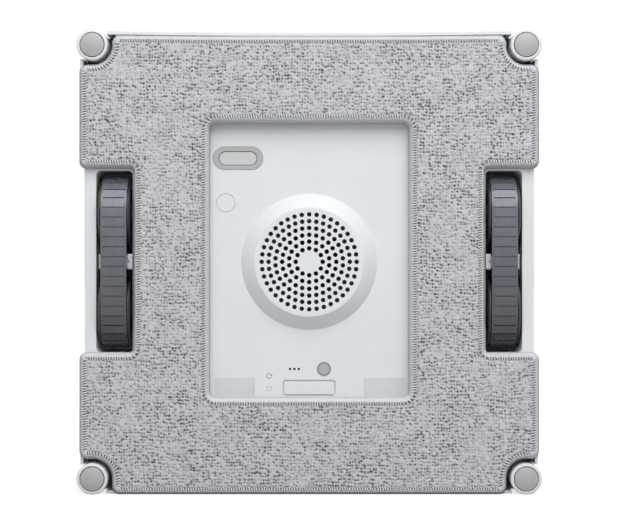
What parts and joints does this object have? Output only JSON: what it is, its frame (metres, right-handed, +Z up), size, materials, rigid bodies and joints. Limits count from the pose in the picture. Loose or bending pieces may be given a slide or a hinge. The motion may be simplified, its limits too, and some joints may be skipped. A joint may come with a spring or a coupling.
{
  "type": "window cleaning robot",
  "caption": "Square window cleaning robot seen on its working side: cleaning cloth with a central window, belt tracks, corner rollers and a domed suction fan grille.",
  "frame": {"origin": "centre of the working face, on the plane that lies on the glass", "axes": "-Y out of the working face towards the glass, +Z up as the robot stands in the picture, +X to the picture's right"},
  "size_m": [0.231, 0.077, 0.231],
  "materials": {
    "housing_white": "satin",
    "cover_white": "gloss",
    "panel_white": "satin",
    "grille_white": "satin",
    "roller_white": "satin",
    "pale_plastic": "matte",
    "sensor_grey": "satin",
    "switch_grey": "matte",
    "switch_pale": "matte",
    "lens_grey": "gloss",
    "dark_plastic": "matte",
    "fan_dark": "matte",
    "belt_rubber": "matte",
    "seal_rubber": "matte",
    "cloth_microfibre": "terry",
    "hook_fabric": "hook",
    "steel": "brushed",
    "bronze": "satin",
    "gear_nylon": "satin",
    "board_green": "satin",
    "battery_blue": "gloss"
  },
  "bodies": {
    "chassis": {"base_housing": "housing_white", "top_cover": "cover_white", "housing_seal": "seal_rubber", "cover_screws": "steel", "roller_cups": "dark_plastic", "cleaning_cloth": "cloth_microfibre", "hook_strips": "hook_fabric", "fan_grille": "grille_white", "fan_gasket": "seal_rubber", "fan_housing": "pale_plastic", "fan_motor": "steel", "left_track_belt": "belt_rubber", "right_track_belt": "belt_rubber", "left_track_frame": "pale_plastic", "right_track_frame": "pale_plastic", "idler_axles": "steel", "shaft_bushes": "bronze", "left_gear_case": "dark_plastic", "right_gear_case": "dark_plastic", "left_drive_motor": "steel", "right_drive_motor": "steel", "roller_posts": "steel", "sensor_springs": "steel", "switch_bezel": "switch_grey", "round_cap": "panel_white", "service_cover": "panel_white", "status_lens": "lens_grey", "main_board": "board_green", "battery_pack": "battery_blue", "exhaust_grille": "pale_plastic", "indicator_ring": "roller_white", "cord_gland": "seal_rubber", "rope_anchor": "steel"},
    "left_drive": {"left_drive_wheel": "dark_plastic", "left_drive_shaft": "steel", "left_drive_gear": "gear_nylon"},
    "left_idler": {"left_idler_wheel": "dark_plastic"},
    "left_reduction": {"left_reduction_gear": "gear_nylon"},
    "left_pinion": {"left_motor_pinion": "bronze"},
    "right_drive": {"right_drive_wheel": "dark_plastic", "right_drive_shaft": "steel", "right_drive_gear": "gear_nylon"},
    "right_idler": {"right_idler_wheel": "dark_plastic"},
    "right_reduction": {"right_reduction_gear": "gear_nylon"},
    "right_pinion": {"right_motor_pinion": "bronze"},
    "fan": {"fan_impeller": "fan_dark", "fan_shaft": "steel"},
    "top_left_roller": {"top_left_roller": "roller_white"},
    "top_left_sensor": {"top_left_sensor": "sensor_grey"},
    "top_right_roller": {"top_right_roller": "roller_white"},
    "top_right_sensor": {"top_right_sensor": "sensor_grey"},
    "bottom_left_roller": {"bottom_left_roller": "roller_white"},
    "bottom_left_sensor": {"bottom_left_sensor": "sensor_grey"},
    "bottom_right_roller": {"bottom_right_roller": "roller_white"},
    "bottom_right_sensor": {"bottom_right_sensor": "sensor_grey"},
    "power_switch": {"power_switch": "switch_pale"},
    "reset_button": {"reset_button": "panel_white"},
    "start_button": {"start_button": "sensor_grey"}
  },
  "joints": [
    {"name": "left_drive_spin", "type": "hinge", "parent": "chassis", "child": "left_drive", "pos_m": [-0.09705, 0.0188, 0.0244], "axis": [1, 0, 0], "continuous": true},
    {"name": "left_idler_spin", "type": "hinge", "parent": "chassis", "child": "left_idler", "pos_m": [-0.09705, 0.0188, -0.0244], "axis": [1, 0, 0], "continuous": true},
    {"name": "left_reduction_spin", "type": "hinge", "parent": "chassis", "child": "left_reduction", "pos_m": [-0.082, 0.02574, 0.03431], "axis": [1, 0, 0], "continuous": true},
    {"name": "left_pinion_spin", "type": "hinge", "parent": "chassis", "child": "left_pinion", "pos_m": [-0.079, 0.03087, 0.04532], "axis": [1, 0, 0], "continuous": true},
    {"name": "right_drive_spin", "type": "hinge", "parent": "chassis", "child": "right_drive", "pos_m": [0.09705, 0.0188, 0.0244], "axis": [1, 0, 0], "continuous": true},
    {"name": "right_idler_spin", "type": "hinge", "parent": "chassis", "child": "right_idler", "pos_m": [0.09705, 0.0188, -0.0244], "axis": [1, 0, 0], "continuous": true},
    {"name": "right_reduction_spin", "type": "hinge", "parent": "chassis", "child": "right_reduction", "pos_m": [0.082, 0.02574, 0.03431], "axis": [1, 0, 0], "continuous": true},
    {"name": "right_pinion_spin", "type": "hinge", "parent": "chassis", "child": "right_pinion", "pos_m": [0.079, 0.03087, 0.04532], "axis": [1, 0, 0], "continuous": true},
    {"name": "fan_spin", "type": "hinge", "parent": "chassis", "child": "fan", "pos_m": [0, 0.024, 0], "axis": [0, 1, 0], "continuous": true},
    {"name": "top_left_roller_spin", "type": "hinge", "parent": "chassis", "child": "top_left_roller", "pos_m": [-0.1077, 0.01, 0.1077], "axis": [0, 1, 0], "continuous": true},
    {"name": "top_left_sensor_press", "type": "slide", "parent": "chassis", "child": "top_left_sensor", "axis": [0, 1, 0], "range_m": [0, 0.0016], "stiffness_N_per_m": 150, "springref_m": -0.002, "deforming": ["sensor_springs"]},
    {"name": "top_right_roller_spin", "type": "hinge", "parent": "chassis", "child": "top_right_roller", "pos_m": [0.1077, 0.01, 0.1077], "axis": [0, 1, 0], "continuous": true},
    {"name": "top_right_sensor_press", "type": "slide", "parent": "chassis", "child": "top_right_sensor", "axis": [0, 1, 0], "range_m": [0, 0.0016], "stiffness_N_per_m": 150, "springref_m": -0.002, "deforming": ["sensor_springs"]},
    {"name": "bottom_left_roller_spin", "type": "hinge", "parent": "chassis", "child": "bottom_left_roller", "pos_m": [-0.1077, 0.01, -0.1077], "axis": [0, 1, 0], "continuous": true},
    {"name": "bottom_left_sensor_press", "type": "slide", "parent": "chassis", "child": "bottom_left_sensor", "axis": [0, 1, 0], "range_m": [0, 0.0016], "stiffness_N_per_m": 150, "springref_m": -0.002, "deforming": ["sensor_springs"]},
    {"name": "bottom_right_roller_spin", "type": "hinge", "parent": "chassis", "child": "bottom_right_roller", "pos_m": [0.1077, 0.01, -0.1077], "axis": [0, 1, 0], "continuous": true},
    {"name": "bottom_right_sensor_press", "type": "slide", "parent": "chassis", "child": "bottom_right_sensor", "axis": [0, 1, 0], "range_m": [0, 0.0016], "stiffness_N_per_m": 150, "springref_m": -0.002, "deforming": ["sensor_springs"]},
    {"name": "power_switch_rock", "type": "hinge", "parent": "chassis", "child": "power_switch", "pos_m": [-0.0356, 0.011, 0.0518], "axis": [0, 0, 1], "range_deg": [-5, 5]},
    {"name": "reset_press", "type": "slide", "parent": "chassis", "child": "reset_button", "axis": [0, 1, 0], "range_m": [0, 0.0008], "stiffness_N_per_m": 200, "springref_m": -0.001},
    {"name": "start_press", "type": "slide", "parent": "chassis", "child": "start_button", "axis": [0, -1, 0], "range_m": [0, 0.0008], "stiffness_N_per_m": 300, "springref_m": -0.001}
  ],
  "couplings": [
    {"joint": "left_idler_spin", "follows": "left_drive_spin", "ratio": 1},
    {"joint": "left_reduction_spin", "follows": "left_drive_spin", "ratio": -2.6667},
    {"joint": "left_pinion_spin", "follows": "left_drive_spin", "ratio": 11.733},
    {"joint": "right_idler_spin", "follows": "right_drive_spin", "ratio": 1},
    {"joint": "right_reduction_spin", "follows": "right_drive_spin", "ratio": -2.6667},
    {"joint": "right_pinion_spin", "follows": "right_drive_spin", "ratio": 11.733}
  ]
}
